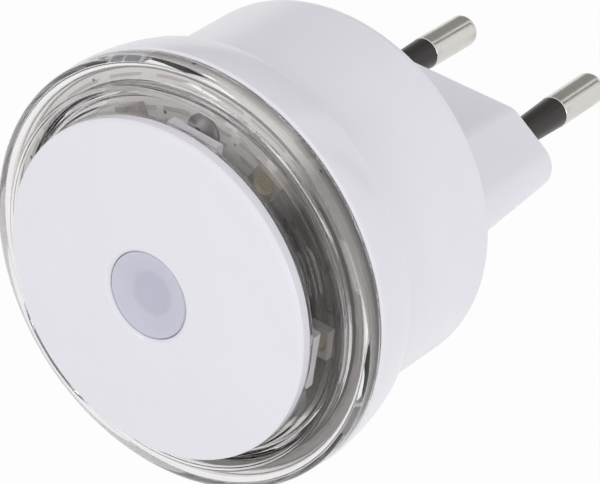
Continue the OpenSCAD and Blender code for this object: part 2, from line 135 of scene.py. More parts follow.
class Graph:
    """The nodes of a material, of the world or of a lamp."""

    def __init__(self, owner: Any) -> None:
        """Takes over the nodes of a material, world or lamp, and empties them.

        Args:
            owner: What the nodes belong to.
        """
        owner.use_nodes = True
        self.owner, self.tree = owner, owner.node_tree
        self.tree.nodes.clear()

    @classmethod
    def of_material(cls, name: str) -> "Graph":
        """Starts an empty material of that name."""
        return cls(bpy.data.materials.new(name))

    def add(self, kind: str, settings: dict[str, Any] | None = None,
            inputs: dict[Any, Any] | None = None) -> bpy.types.Node:
        """Adds a node.

        Args:
            kind: The node's type, such as ShaderNodeTexNoise.
            settings: What is set on the node itself first, such as a Math node's operation.
            inputs: The value or link of each socket, by its name or index.

        Returns:
            The node.
        """
        node = self.tree.nodes.new(kind)
        for key, value in (settings or {}).items():
            setattr(node, key, value)
        for key, value in (inputs or {}).items():
            self.feed(node.inputs[key], value)
        return node

    def feed(self, socket: bpy.types.NodeSocket, value: Any) -> None:
        """Links something to a socket, or sets it there.

        Args:
            socket: The input socket.
            value: What goes in: a flow or an output socket, or else a plain number, colour or vector.
        """
        if isinstance(value, Flow):
            value = value.socket
        if isinstance(value, bpy.types.NodeSocket):
            self.tree.links.new(value, socket)
        elif socket.type == "RGBA" and len(value) == 3:
            socket.default_value = (*value, 1)
        else:
            socket.default_value = value

    def end(self, shader: bpy.types.Node, output: str = "ShaderNodeOutputMaterial") -> Any:
        """Links a shader to an output node of that type, and gives what the nodes belong to."""
        self.add(output, None, {"Surface": shader.outputs[0]})
        return self.owner

    def math(self, operation: str, *values: Number) -> Flow:
        """A Math node on one to three numbers."""
        node = self.add("ShaderNodeMath", {"operation": operation}, dict(enumerate(values)))
        return Flow(self, node.outputs[0])

    def vector(self, operation: str, *values: Any) -> bpy.types.NodeSocket:
        """A Vector Math node on vectors."""
        node = self.add("ShaderNodeVectorMath", {"operation": operation}, dict(enumerate(values)))
        return node.outputs[0]

    def place(self) -> bpy.types.NodeSocket:
        """Where a point of the surface is, in millimetres."""
        here = self.add("ShaderNodeTexCoord").outputs["Object"]
        return self.vector("MULTIPLY", here, (1 / MM,) * 3)

    def axes(self, source: bpy.types.NodeSocket | None = None) -> tuple[Flow, Flow, Flow]:
        """The three numbers of a vector, or of the place when none is given."""
        node = self.add("ShaderNodeSeparateXYZ", inputs={0: source or self.place()})
        return tuple(Flow(self, out) for out in node.outputs)

    def facing(self) -> tuple[Flow, Flow, Flow]:
        """The three numbers of the surface's normal."""
        return self.axes(self.add("ShaderNodeTexCoord").outputs["Normal"])

    def from_axis(self) -> Flow:
        """Distance from the lamp's axis, in millimetres."""
        x, _, z = self.axes()
        return self.math("SQRT", x * x + z * z)

    def round_axis(self) -> Flow:
        """Angle about the lamp's axis, in turns."""
        x, _, z = self.axes()
        return self.math("ARCTAN2", z, x) / math.tau

    def noise(self, size: float, detail: float = 2, stretch: Point = (1, 1, 1), warp: float = 0) -> Flow:
        """Noise from 0 to 1.

        Args:
            size: The width of one of its grains, in millimetres.
            detail: How many finer layers lie on it.
            stretch: How much longer a grain is along each axis.
            warp: How far it is pulled about.

        Returns:
            The noise.
        """
        there = self.vector("DIVIDE", self.place(), tuple(size * s for s in stretch))
        node = self.add("ShaderNodeTexNoise", None,
                        {"Vector": there, "Scale": 1.0, "Detail": detail, "Distortion": warp})
        return Flow(self, node.outputs[0])

    def ease(self, value: Number, low: float, high: float) -> Flow:
        """A smooth step from 0 at low to 1 at high."""
        node = self.add("ShaderNodeMapRange", {"interpolation_type": "SMOOTHSTEP"},
                        {"Value": value, "From Min": low, "From Max": high})
        return Flow(self, node.outputs[0])

    def mix(self, share: Number, first: Any, second: Any) -> bpy.types.NodeSocket:
        """A colour between two others."""
        node = self.add("ShaderNodeMix", {"data_type": "RGBA"}, {0: share, 6: first, 7: second})
        return node.outputs[2]

    def bump(self, height: Flow, strength: float) -> bpy.types.NodeSocket:
        """A normal for a height in millimetres."""
        node = self.add("ShaderNodeBump", None, {"Height": height, "Distance": MM, "Strength": strength})
        return node.outputs[0]

    def rays(self, *kinds: str) -> Flow:
        """One for rays of some kinds, as the Light Path node names them, and zero for all others."""
        path = self.add("ShaderNodeLightPath").outputs
        return functools.reduce(functools.partial(self.math, "MAXIMUM"),
                                (Flow(self, path[f"Is {kind} Ray"]) for kind in kinds))

    def close(self, lets_through: Colour | None = None, **sockets: Any) -> bpy.types.Material:
        """Ends the material in a Principled BSDF.

        Args:
            lets_through: The tint with which the lamps' light falls through it, if it does.
            sockets: Its sockets by name, with _ for a space.

        Returns:
            The material.
        """
        shader = self.add("ShaderNodeBsdfPrincipled", None,
                          {key.replace("_", " "): value for key, value in sockets.items()})
        if lets_through:
            clear = self.add("ShaderNodeBsdfTransparent", None, {"Color": lets_through})
            shader = self.add("ShaderNodeMixShader", None, {
                0: self.rays("Shadow", "Diffuse"), 1: shader.outputs[0], 2: clear.outputs[0]})
        return self.end(shader)


def shade(colour: Colour, *shares: float) -> Colour:
    """A colour times one share, or with a share for each of its three numbers."""
    return tuple(c * s for c, s in zip(colour, shares * 3 if len(shares) == 1 else shares))


@dataclass(frozen=True)
class MouldedPlastic:
    """An opaque plastic from a mould: a faint cloudiness, small specks and a fine grain."""

    name: str
    colour: Colour
    roughness: float = 0.3
    grain: float = 0.12
    relief: float = 0.05
    clouding: float = 0.03
    coat: float = 0.0
    cloud: float = 9.0
    speck: float = 0.35
    wave: float = 3.5

    def material(self) -> bpy.types.Material:
        """Makes the material.

        Returns:
            The material.
        """
        graph = Graph.of_material(self.name)
        clouds = graph.noise(self.cloud, 3, warp=0.4)
        specks = graph.ease(graph.noise(self.speck, 1), 0.70, 0.78)
        darker = shade(self.colour, 1 - 2.5 * self.clouding)
        tone = graph.mix(clouds * 0.7 + specks * 0.3, self.colour, darker)
        grain, waves = graph.noise(self.grain, 2), graph.noise(self.wave, 1)
        return graph.close(
            Base_Color=tone, Roughness=clouds * 0.06 + specks * 0.04 + (self.roughness - 0.04),
            Normal=graph.bump(grain * 0.02 + waves * 0.02, self.relief),
            Coat_Weight=self.coat, Coat_Roughness=0.08)


@dataclass(frozen=True)
class ClearPlastic:
    """Smoky clear plastic, polished, with a slight waviness and hairline scratches."""

    name: str
    colour: Colour
    roughness: float = 0.03
    index: float = 1.49
    scratch: float = 0.25
    cloud: float = 4.0
    wave: float = 5.0

    def material(self) -> bpy.types.Material:
        """Makes the material.

        Returns:
            The material.
        """
        graph = Graph.of_material(self.name)
        scratches = graph.ease(graph.noise(self.scratch, 3, (8, 1, 1), 0.6), 0.62, 0.8)
        tone = graph.mix(graph.noise(self.cloud, 2), self.colour, shade(self.colour, 0.85))
        waves = graph.noise(self.wave, 1, warp=0.3) * 0.12
        return graph.close(self.colour, Base_Color=tone, Roughness=scratches * 0.05 + self.roughness,
                           Normal=graph.bump(waves, 0.25), Transmission_Weight=1.0, IOR=self.index)


@dataclass(frozen=True)
class FrostedWindow:
    """A frosted window with a thinner, darker spot inside spot_r, and a fine etched grain."""

    name: str
    colour: Colour
    spot_colour: Colour
    spot_r: float
    etching: float = 0.1
    mottle: float = 0.9

    def material(self) -> bpy.types.Material:
        """Makes the material.

        Returns:
            The material.
        """
        graph = Graph.of_material(self.name)
        in_spot = 1 - graph.ease(graph.from_axis(), self.spot_r - 0.55, self.spot_r + 0.35)
        mottle = graph.noise(self.mottle, 3)
        tone = graph.mix(in_spot, self.colour, self.spot_colour)
        tone = graph.mix(mottle * 0.25, tone, shade(self.colour, 0.86))
        return graph.close(
            Base_Color=tone, Roughness=mottle * 0.1 + in_spot * 0.1 + 0.28,
            Normal=graph.bump(graph.noise(self.etching) * 0.03, 0.2),
            Subsurface_Weight=0.35, Subsurface_Radius=(0.9, 0.95, 1.2), Subsurface_Scale=MM)


@dataclass(frozen=True)
class PlatedPin:
    """Plate on turned metal: rings from the lathe, rub marks along Y, and an end that grows dull along Y.

    The rings' pace is in radians per millimetre.
    """

    name: str
    colour: Colour
    roughness: float = 0.2
    dull: tuple[float, float] = (17.4, 19.2)
    rub: float = 0.22
    stain: float = 1.4
    ring_pace: float = 26.0

    def material(self) -> bpy.types.Material:
        """Makes the material.

        Returns:
            The material.
        """
        graph = Graph.of_material(self.name)
        _, y, _ = graph.axes()
        rubs = graph.ease(graph.noise(self.rub, 3, (1, 26, 1)), 0.5, 0.72)
        stains = graph.ease(graph.noise(self.stain, 4, (1, 2, 1), 0.5), 0.52, 0.72)
        tip = graph.ease(y, *self.dull)
        rings = graph.math("SINE", y * self.ring_pace) * 0.5 + 0.5
        tone = graph.mix(stains * 0.5 + tip * 0.2, self.colour, shade(self.colour, 0.8, 0.76, 0.7))
        return graph.close(
            Base_Color=tone, Metallic=1.0,
            Roughness=rubs * 0.04 + stains * 0.04 + tip * 0.05 + self.roughness,
            Normal=graph.bump(rings * 0.003 + rubs * 0.001, 0.3))


@dataclass(frozen=True)
class CoatedBoard:
    """A circuit board: coating over copper tracks, tinned at the pads, with painted light on one side and at
    the rim.

    The painted light on that side stands for light that falls in through the clear ring, and its middle is a
    set number of turns round from X; the far side is left dark as painted shade. The rim's painted light is a
    set share as pale as that side.
    """

    name: str
    coating: Colour
    pale: Colour
    copper: Colour
    tin: Colour
    rim_r: float = 22.7
    lit_rim_share: float = 0.32
    lit_side_turn: float = 0.36
    track_w: float = 0.7
    breaks: float = 22.0
    pads_per_mm: float = 0.34

    def material(self) -> bpy.types.Material:
        """Makes the material.

        Returns:
            The material.
        """
        graph = Graph.of_material(self.name)
        away, turn = graph.from_axis(), graph.round_axis()
        wander = graph.noise(2.2, 0)
        # Painted light and shade: the coating is painted pale on the side where light falls in through the
        # clear ring, and left dark as painted shade on the far side.
        side = graph.ease(graph.math("COSINE", (turn - self.lit_side_turn) * math.tau), 0.05, 0.45)
        # Painted light: a pale band at the board's rim, a set share as pale as the lit side.
        rim = graph.ease(away + wander * 0.4, self.rim_r, self.rim_r + 0.25) * self.lit_rim_share
        # The coating here carries the painted light of the lit side and the rim.
        coating = graph.mix(graph.math("MAXIMUM", side, rim), self.coating, self.pale)
        tracks = graph.ease(graph.math("PINGPONG", away + wander * 0.3, self.track_w), 0.42, 0.46)
        breaks = graph.ease(graph.math("PINGPONG", turn * self.breaks + wander * 0.6, 0.5), 0.1, 0.13)
        cells = graph.add("ShaderNodeTexVoronoi", {"feature": "F1"},
                          {"Vector": graph.place(), "Scale": self.pads_per_mm})
        pads = 1 - graph.ease(Flow(graph, cells.outputs[0]), 0.07, 0.09)
        under = graph.mix(tracks * breaks * 0.35, coating, self.copper)
        return graph.close(
            Base_Color=graph.mix(pads, under, self.tin), Metallic=pads * 0.9,
            Roughness=graph.noise(0.5) * 0.12 + (0.36 - tracks * 0.05),
            Normal=graph.bump(tracks * breaks * 0.05 + pads * 0.12, 0.8))


@dataclass(frozen=True)
class LeadedPart:
    """A part on tinned leads: a body inside a box, with bands across it, and bare metal outside the box.

    The box's corners are in millimetres, in the lamp's frame. A band is a place on X, a width and a colour.
    """

    name: str
    body: Colour
    low: Point
    high: Point
    roughness: float = 0.3
    bands: tuple[tuple[float, float, Colour], ...] = ()
    tin: Colour = (0.62, 0.61, 0.58)

    def material(self) -> bpy.types.Material:
        """Makes the material.

        Returns:
            The material.
        """
        graph = Graph.of_material(self.name)
        in_body: Number = 1.0
        axes = graph.axes()
        for axis, low, high in zip(axes, self.low, self.high):
            in_body = (axis > low) * (axis < high) * in_body
        mottle = graph.noise(0.6, 3)
        tone = graph.mix(mottle * 0.4, self.body, shade(self.body, 0.72))
        for at, width, colour in self.bands:
            tone = graph.mix(abs(axes[0] - at) + mottle * 0.05 < width / 2, tone, colour)
        return graph.close(
            Base_Color=graph.mix(in_body, self.tin, tone), Metallic=1 - in_body,
            Roughness=mottle * 0.14 + (self.roughness - 0.05), Normal=graph.bump(mottle * 0.05, 0.3))


@dataclass(frozen=True)
class LampChip:
    """Light-emitting chips: a white body whose well, behind the plane at front, is filled with yellow."""

    name: str
    front: float
    white: Colour = (0.34, 0.33, 0.31)
    yellow: Colour = (0.52, 0.46, 0.28)

    def material(self) -> bpy.types.Material:
        """Makes the material.

        Returns:
            The material.
        """
        graph = Graph.of_material(self.name)
        _, y, _ = graph.axes()
        _, ny, _ = graph.facing()
        in_well = (y > self.front + 0.04) * (ny < -0.5)
        mottle = graph.noise(0.3, 2)
        tone = graph.mix(in_well, self.white, self.yellow)
        return graph.close(
            Base_Color=graph.mix(mottle * 0.2, tone, shade(self.white, 0.85)),
            Roughness=mottle * 0.1 + (0.42 - in_well * 0.2), Normal=graph.bump(mottle * 0.03, 0.4))


Finish = Union[MouldedPlastic, ClearPlastic, FrostedWindow, PlatedPin, CoatedBoard, LeadedPart, LampChip]


# ---------- modelling


def alone(piece: bpy.types.Object, *others: bpy.types.Object) -> None:
    """Selects some objects, and nothing else.

    Args:
        piece: The object that becomes the active one.
        others: The other ones.
    """
    bpy.ops.object.select_all(action="DESELECT")
    for each in (piece, *others):
        each.select_set(True)
    bpy.context.view_layer.objects.active = piece


@contextlib.contextmanager
def editing(piece: bpy.types.Object) -> Iterator[None]:
    """Opens a piece in edit mode, alone and with nothing selected in it, and leaves it in object mode.

    Args:
        piece: The piece.
    """
    alone(piece)
    bpy.ops.object.mode_set(mode="EDIT")
    bpy.ops.mesh.select_mode(type="VERT")
    bpy.ops.mesh.select_all(action="DESELECT")
    yield
    bpy.ops.object.mode_set(mode="OBJECT")


class Element(Enum):
    """What a choice in edit mode picks."""

    VERT = "verts"
    EDGE = "edges"
    FACE = "faces"


def pick(piece: bpy.types.Object, element: Element, test: Callable[[Any], bool]) -> None:
    """Selects only those parts of a mesh in edit mode that pass a test.

    Args:
        piece: The piece in edit mode.
        element: Whether vertices, edges or faces are picked.
        test: Tells of each of them if it is picked.
    """
    bpy.ops.mesh.select_mode(type=element.name)
    bpy.ops.mesh.select_all(action="DESELECT")
    mesh = bmesh.from_edit_mesh(piece.data)
    for each in filter(test, getattr(mesh, element.value)):
        each.select_set(True)
    mesh.select_flush_mode()
    bmesh.update_edit_mesh(piece.data)


def close_up() -> None:
    """Merges doubled vertices of the piece in edit mode and turns its faces outwards."""
    bpy.ops.mesh.select_all(action="SELECT")
    bpy.ops.mesh.remove_doubles(threshold=WELD)
    bpy.ops.mesh.normals_make_consistent(inside=False)


def modify(piece: bpy.types.Object, kind: str, **settings: Any) -> None:
    """Adds a modifier to a piece and applies it.

    Args:
        piece: The piece.
        kind: The modifier's type.
        settings: What is set on it.
    """
    alone(piece)
    bpy.ops.object.modifier_add(type=kind)
    modifier = piece.modifiers[-1]
    for key, value in settings.items():
        setattr(modifier, key, value)
    bpy.ops.object.modifier_apply(modifier=modifier.name)


def smooth(piece: bpy.types.Object, degrees: float) -> None:
    """Shades a piece smooth, with flat faces left flat.

    Args:
        piece: The piece.
        degrees: The angle past which an edge stays sharp.
    """
    alone(piece)
    bpy.ops.object.shade_smooth_by_angle(angle=math.radians(degrees))
    modify(piece, "WEIGHTED_NORMAL", keep_sharp=True, weight=80)


@dataclass(frozen=True)
class Corner:
    """A corner of a turned profile: its radius, its depth, and the width and steps of its rounding."""

    r: float
    z: float
    rounding: float = 0.0
    steps: int = 5


@dataclass
class Turning:
    """A turned shape: a profile drawn corner by corner, rounded at its corners and spun about the Y axis.

    A profile that starts and ends on the axis isn't a ring. Depths are measured from zero, a place on Y.
    """

    name: str
    corners: Sequence[Corner]
    steps: int
    ring: bool = True
    zero: float = 0.0

    def point(self, corner: Corner) -> Vector:
        """A corner in the lamp's frame, in metres."""
        return Vector((corner.r, corner.z + self.zero, 0)) * MM

    def draw(self, piece: bpy.types.Object) -> None:
        """Draws the profile as a line of vertices, and closes it when it is a ring's.

        Args:
            piece: The piece in edit mode, which holds one plane that becomes the first vertex.
        """
        bpy.ops.mesh.select_all(action="SELECT")
        bpy.ops.mesh.merge(type="CENTER")
        at = Vector((0, 0, 0))
        for number, corner in enumerate(self.corners):
            step = self.point(corner) - at
            if number:
                bpy.ops.mesh.extrude_vertices_move(TRANSFORM_OT_translate={"value": step})
            else:
                bpy.ops.transform.translate(value=step)
            at = at + step
        if self.ring:
            ends = [self.point(self.corners[0]), self.point(self.corners[-1])]
            pick(piece, Element.VERT, lambda v: min((v.co - end).length for end in ends) < TOUCH)
            bpy.ops.mesh.edge_face_add()

    def round_off(self, piece: bpy.types.Object) -> None:
        """Rounds the corners that ask for it.

        Args:
            piece: The piece in edit mode.
        """
        for corner in self.corners:
            if corner.rounding:
                here = self.point(corner)
                pick(piece, Element.VERT, lambda v: (v.co - here).length < TOUCH)
                bpy.ops.mesh.bevel(offset=corner.rounding * MM, segments=corner.steps, affect="VERTICES")

    def model(self) -> bpy.types.Object:
        """Makes the turned piece.

        Returns:
            The piece.
        """
        bpy.ops.object.select_all(action="DESELECT")
        bpy.ops.mesh.primitive_plane_add(size=MM)
        piece = bpy.context.active_object
        piece.name = piece.data.name = f"{self.name}_look"
        with editing(piece):
            self.draw(piece)
            self.round_off(piece)
            bpy.ops.mesh.select_all(action="SELECT")
            bpy.ops.mesh.spin(steps=self.steps, angle=math.tau, center=(0, 0, 0), axis=(0, 1, 0))
            close_up()
        return piece


# ---------- sub-assemblies


@dataclass(frozen=True)
class Sizes:
    """Sizes that sub-assemblies share, as in the CAD source. A depth (z) runs back from the disc's rim."""

    disc_r: float = 20.25
    disc_t: float = 1.5
    crown: float = 1.3
    bevel: float = 0.35
    hole_r: float = 5.25
    window_r: float = 5.2
    spot_r: float = 2.7
    foot_r: float = 21.25
    wall_z: float = 5.3
    bead_w: float = 4.5
    ring_r: float = 25.75
    wall: float = 1.3
    seat_w: float = 1.7
    seat_t: float = 1.2
    bezel_z: float = 7.0
    bezel_r: float = 25.85
    bezel_back_r: float = 24.75
    bezel_in_r: float = 23.65
    drum_z: float = 14.0
    drum_r: float = 22.5
    drum_in_r: float = 20.8
    board_z: float = 6.5
    board_back: float = 8.1
    back_z: float = 32.9
    face_z: float = 54.2
    fit: float = 0.1
    turn_steps: int = 240

    def crown_z(self, r: float) -> float:
        """Depth of the disc's crowned face at a radius."""
        return self.crown * (r * r / self.disc_r**2 - 1)


SIZES = Sizes()
WHITE_GLOSS = MouldedPlastic("white_gloss", (0.80, 0.79, 0.85), roughness=0.26, relief=0.03, coat=0.15)
WHITE_SATIN = MouldedPlastic("white_satin", (0.82, 0.81, 0.87), roughness=0.32, relief=0.06)
SMOKY_CLEAR = ClearPlastic("smoky_clear", (0.95, 0.94, 0.935), roughness=0.02)
FROSTED = FrostedWindow("frosted_window", (0.58, 0.59, 0.68), (0.51, 0.52, 0.63), SIZES.spot_r)
PIN_METAL = PlatedPin("pin_metal", (0.66, 0.64, 0.61))
SLEEVE_BLACK = MouldedPlastic("sleeve_black", (0.02, 0.015, 0.014), 0.34, 0.1, relief=0.1, clouding=0.1)
DARK_PLASTIC = MouldedPlastic("dark_plastic", (0.045, 0.045, 0.05), 0.42, 0.15, relief=0.12, clouding=0.08)
SCREW_STEEL = PlatedPin("screw_steel", (0.6, 0.6, 0.58), roughness=0.28)
SCREW_BLACK = PlatedPin("screw_blackened", (0.2, 0.2, 0.2), roughness=0.42)
# The board's pale colour is painted light on its lit side and at its rim; the coating itself is dark.
BOARD_DARK = CoatedBoard("board_dark", coating=(0.035, 0.026, 0.02), pale=(0.85, 0.84, 0.84),
                         copper=(0.16, 0.13, 0.1), tin=(0.3, 0.28, 0.26))


def hand_over(piece: bpy.types.Object, finish: Finish, slot: str, *nodes: str) -> None:
    """Dresses a piece, lets it ride on the lamp's body and stand for its CAD nodes, and reports it.

    Args:
        piece: The finished piece, at the origin.
        finish: What it is dressed in.
        slot: The record's material slot. It is not used.
        nodes: The CAD nodes that it replaces.
    """
    piece.data.materials.clear()
    piece.data.materials.append(finish.material())
    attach(piece, "root")
    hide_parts(*nodes)
    off = 0.0
    for i in range(3):
        ends = [corner[i] for corner in piece.bound_box]
        off = max(off, abs(min(ends) - min(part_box(n)[0][i] for n in nodes)),
                  abs(max(ends) - max(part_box(n)[1][i] for n in nodes)))
    log.info("%s: %d faces, box off its nodes by %.3f mm", piece.name, len(piece.data.polygons), off / MM)


@dataclass
class FrontDisc:
    """The white disc with its crown, bevels and hooked arms, and the frosted window in its hole."""

    sizes: Sizes = SIZES
    arm_angles: tuple[float, ...] = (3, 93, 183, 273)
    arm_w: float = 6.5
    arm_t: float = 1.1
    arm_sunk: float = 0.02
    hook_out: float = 0.6
    hook_t: float = 1.4
    hook_edge: float = 0.25
    bush_wall: float = 1.5
    bush_t: float = 2.2
    bush_lip: float = 0.8
    crown_steps: int = 24
    turn_steps: int = 180
    window_dish: float = 0.3
    window_side: float = 0.6
    spot_drop: float = 0.8
    spot_wall: float = 0.7
    rib_in: float = 1.2
    rib_t: float = 0.9
    window_steps: int = 96

    def shell(self) -> bpy.types.Object:
        """Turns the disc with its bush.

        Returns:
            The disc.
        """
        s = self.sizes
        lip_r, rim_r = s.hole_r + s.bevel, s.disc_r - s.bevel
        land_r = s.disc_r - s.seat_w - s.fit - self.arm_t
        bush_r, bush_in = s.hole_r + self.bush_wall, s.hole_r - self.bush_lip
        bush_z = s.disc_t + self.bush_t
        radii = [lip_r + (rim_r - lip_r) * i / self.crown_steps for i in range(self.crown_steps + 1)]
        corners = [Corner(s.hole_r, s.crown_z(lip_r) + s.bevel, 0.08, 3)]
        corners += [Corner(r, s.crown_z(r), 0.1 if r in (lip_r, rim_r) else 0, 3) for r in radii]
        corners += [Corner(s.disc_r, s.bevel, 0.1, 3), Corner(s.disc_r, s.disc_t, 0.05, 2),
                    Corner(land_r, s.disc_t), Corner(land_r, s.crown_z(land_r) + s.disc_t)]
        corners += [Corner(r, s.crown_z(r) + s.disc_t) for r in reversed(radii) if bush_r < r < land_r]
        corners += [Corner(bush_r, s.crown_z(bush_r) + s.disc_t), Corner(bush_r, bush_z, 0.2, 3),
                    Corner(bush_in, bush_z), Corner(bush_in, s.disc_t), Corner(s.hole_r, s.disc_t)]
        return Turning("front_disc", corners, self.turn_steps, zero=-s.face_z).model()

    def arm(self, angle: float) -> bpy.types.Object:
        """Models one hooked arm: a block that is drawn out backwards, with a hook pulled from its end.

        Args:
            angle: Where it stands, in degrees from X towards the floor, as in the CAD source.

        Returns:
            The arm.
        """
        s = self.sizes
        arm_r = s.disc_r - s.seat_w - s.fit
        hook_z, top = s.disc_t + s.seat_t + s.fit, s.disc_t - self.arm_sunk
        bpy.ops.object.select_all(action="DESELECT")
        bpy.ops.mesh.primitive_cube_add(size=1)
        arm = bpy.context.active_object
        arm.scale = Vector((self.arm_t, hook_z - top, self.arm_w)) * MM
        arm.location = Vector((arm_r - self.arm_t / 2, (top + hook_z) / 2 - s.face_z, 0)) * MM
        bpy.ops.object.transform_apply(location=True, rotation=False, scale=True)
        with editing(arm):
            pick(arm, Element.FACE, lambda f: f.normal.y > FACING)
            bpy.ops.mesh.extrude_region_move(TRANSFORM_OT_translate={"value": (0, self.hook_t * MM, 0)})
            pick(arm, Element.FACE, lambda f: f.normal.x > FACING
                 and f.calc_center_median().y > (hook_z - s.face_z) * MM)
            bpy.ops.mesh.extrude_region_move(TRANSFORM_OT_translate={"value": (self.hook_out * MM, 0, 0)})
            pick(arm, Element.EDGE, lambda e: all(v.co.x > (arm_r + self.hook_out / 2) * MM for v in e.verts)
                 and abs(e.verts[0].co.y - e.verts[1].co.y) < TOUCH)
            bpy.ops.mesh.bevel(offset=self.hook_edge * MM, segments=2, affect="EDGES")
        arm.rotation_euler = (0, math.radians(angle), 0)
        bpy.ops.object.transform_apply(location=False, rotation=True, scale=False)
        return arm

    def window(self) -> bpy.types.Object:
        """Turns the frosted window: a dished rim round a thin spot, with a rib behind.

        Returns:
            The window.
        """
        s = self.sizes
        rim_z = s.crown_z(s.window_r) + self.window_dish
        spot_z = rim_z + self.spot_drop
        rib_r, rib_z, back_z = s.window_r - self.rib_in, s.disc_t + self.rib_t, spot_z + self.spot_wall
        corners = [
            Corner(0, spot_z), Corner(s.spot_r, spot_z, 0.25, 4),
            Corner(s.window_r - self.window_side, rim_z + 0.06, 0.3, 4), Corner(s.window_r, rim_z, 0.28, 5),
            Corner(s.window_r, s.disc_t, 0.1, 2), Corner(rib_r, s.disc_t), Corner(rib_r, rib_z, 0.1, 2),
            Corner(s.spot_r + 0.7, rib_z, 0.1, 2), Corner(s.spot_r, back_z, 0.2, 3), Corner(0, back_z)]
        return Turning("sensor_window", corners, self.window_steps, ring=False, zero=-s.face_z).model()

    def build(self) -> None:
        """Builds the disc and the window."""
        disc = self.shell()
        alone(disc, *[self.arm(angle) for angle in self.arm_angles])
        bpy.ops.object.join()
        smooth(disc, degrees=28)
        hand_over(disc, WHITE_GLOSS, "white_gloss", "front_disc")
        window = self.window()
        smooth(window, degrees=35)
        hand_over(window, FROSTED, "frosted_window", "sensor_window")


@dataclass
class ClearRing:
    """The smoky clear ring: a seat, a flared wall, a hollow half-round bead, a skirt and a spigot.

    Two fine ridges stand on the bead's inner half, at angles from its foot. Angles are in radians.
    """

    sizes: Sizes = SIZES
    web_t: float = 0.6
    spigot_r: float = 24.9
    spigot_w: float = 0.7
    spigot_z: float = 9.0
    bead_steps: int = 54
    ridge: float = 0.1
    ridge_turn: float = 0.06
    ridges: tuple[float, float] = (1.1, 1.24)

    def bead(self, inner: bool) -> Iterator[Corner]:
        """Half of the bead's outline, from its inner foot to its crest or from there to its outer foot.

        Args:
            inner: Whether it is the inner half, which carries the ridges.

        Yields:
            The corners, in order.
        """
        s = self.sizes
        bead_r = s.bead_w / 2
        middle = s.foot_r + bead_r
        for step in range(1, self.bead_steps + 1):
            turn = math.pi / 2 * (step / self.bead_steps if inner else 1 + step / self.bead_steps)
            reach = bead_r
            if inner:
                reach += self.ridge * max(0.0, *(1 - abs(turn - at) / self.ridge_turn for at in self.ridges))
            yield Corner(middle - reach * math.cos(turn), s.wall_z - reach * math.sin(turn))

    def build(self) -> None:
        """Turns the ring from one closed profile."""
        s = self.sizes
        in_r = s.bead_w / 2 - s.wall
        seat_r, seat_z, web_z = s.disc_r - s.seat_w, s.disc_t + s.seat_t, s.wall_z + self.web_t
        skirt_r, spigot_in = s.ring_r - s.wall, self.spigot_r - self.spigot_w
        lean = (s.foot_r - s.disc_r) / (web_z - s.disc_t)
        corners = [
            Corner(s.disc_r, s.disc_t, 0.12, 3), Corner(s.foot_r, s.wall_z, 0.06, 3),
            *self.bead(True), *self.bead(False), Corner(s.ring_r, s.bezel_z, 0.1, 2),
            Corner(self.spigot_r, s.bezel_z), Corner(self.spigot_r, self.spigot_z, 0.15, 2),
            Corner(spigot_in, self.spigot_z, 0.15, 2), Corner(spigot_in, s.wall_z),
            Corner(skirt_r, s.wall_z), Corner(skirt_r, s.wall_z - in_r, in_r, 10),
            Corner(s.foot_r + s.wall, s.wall_z - in_r, in_r, 10), Corner(s.foot_r + s.wall, web_z, 0.1, 2),
            Corner(s.foot_r - s.wall, web_z, 0.15, 2),
            Corner(s.disc_r - s.wall + lean * s.seat_t, seat_z, 0.15, 2),
            Corner(seat_r, seat_z, 0.1, 2), Corner(seat_r, s.disc_t, 0.1, 2)]
        ring = Turning("light_ring", corners, s.turn_steps, zero=-s.face_z).model()
        smooth(ring, degrees=30)
        hand_over(ring, SMOKY_CLEAR, "smoky_clear", "light_ring")


@dataclass
class Bezel:
    """The white barrel-shaped bezel, with a rebate for the clear ring and a flange behind."""

    sizes: Sizes = SIZES
    flange_t: float = 1.4
    lip_w: float = 0.85
    rebate: float = 2.1
    front_edge: float = 0.35
    back_edge: float = 0.5
    barrel_from: float = 0.4
    barrel_steps: int = 12

    def build(self) -> None:
        """Turns the bezel from one closed profile."""
        s = self.sizes
        length, drop = s.drum_z - s.bezel_z, s.bezel_r - s.bezel_back_r
        barrel = (length**2 + drop**2) / 2 / drop
        span = length - self.barrel_from - self.back_edge
        depths = [self.barrel_from + span * i / self.barrel_steps for i in range(self.barrel_steps + 1)]
        bore_r, lip_r = s.drum_r + s.fit, s.bezel_r - self.lip_w
        flange_z, rebate_z = s.drum_z - self.flange_t, s.bezel_z + self.rebate
        corners = [Corner(s.bezel_r - self.front_edge, s.bezel_z, 0.12, 3)]
        corners += [Corner(s.bezel_r - barrel + math.sqrt(barrel**2 - d * d), s.bezel_z + d,
                           0.22 if d == depths[-1] else 0, 3) for d in depths]
        corners += [
            Corner(s.bezel_back_r - self.back_edge, s.drum_z, 0.15, 3), Corner(bore_r, s.drum_z, 0.1, 2),
            Corner(bore_r, flange_z), Corner(s.bezel_in_r, flange_z, 0.2, 3), Corner(s.bezel_in_r, rebate_z),
            Corner(lip_r, rebate_z), Corner(lip_r, s.bezel_z, 0.1, 2)]
        bezel = Turning("bezel_ring", corners, s.turn_steps, zero=-s.face_z).model()
        smooth(bezel, degrees=28)
        hand_over(bezel, WHITE_GLOSS, "white_gloss", "bezel_ring")


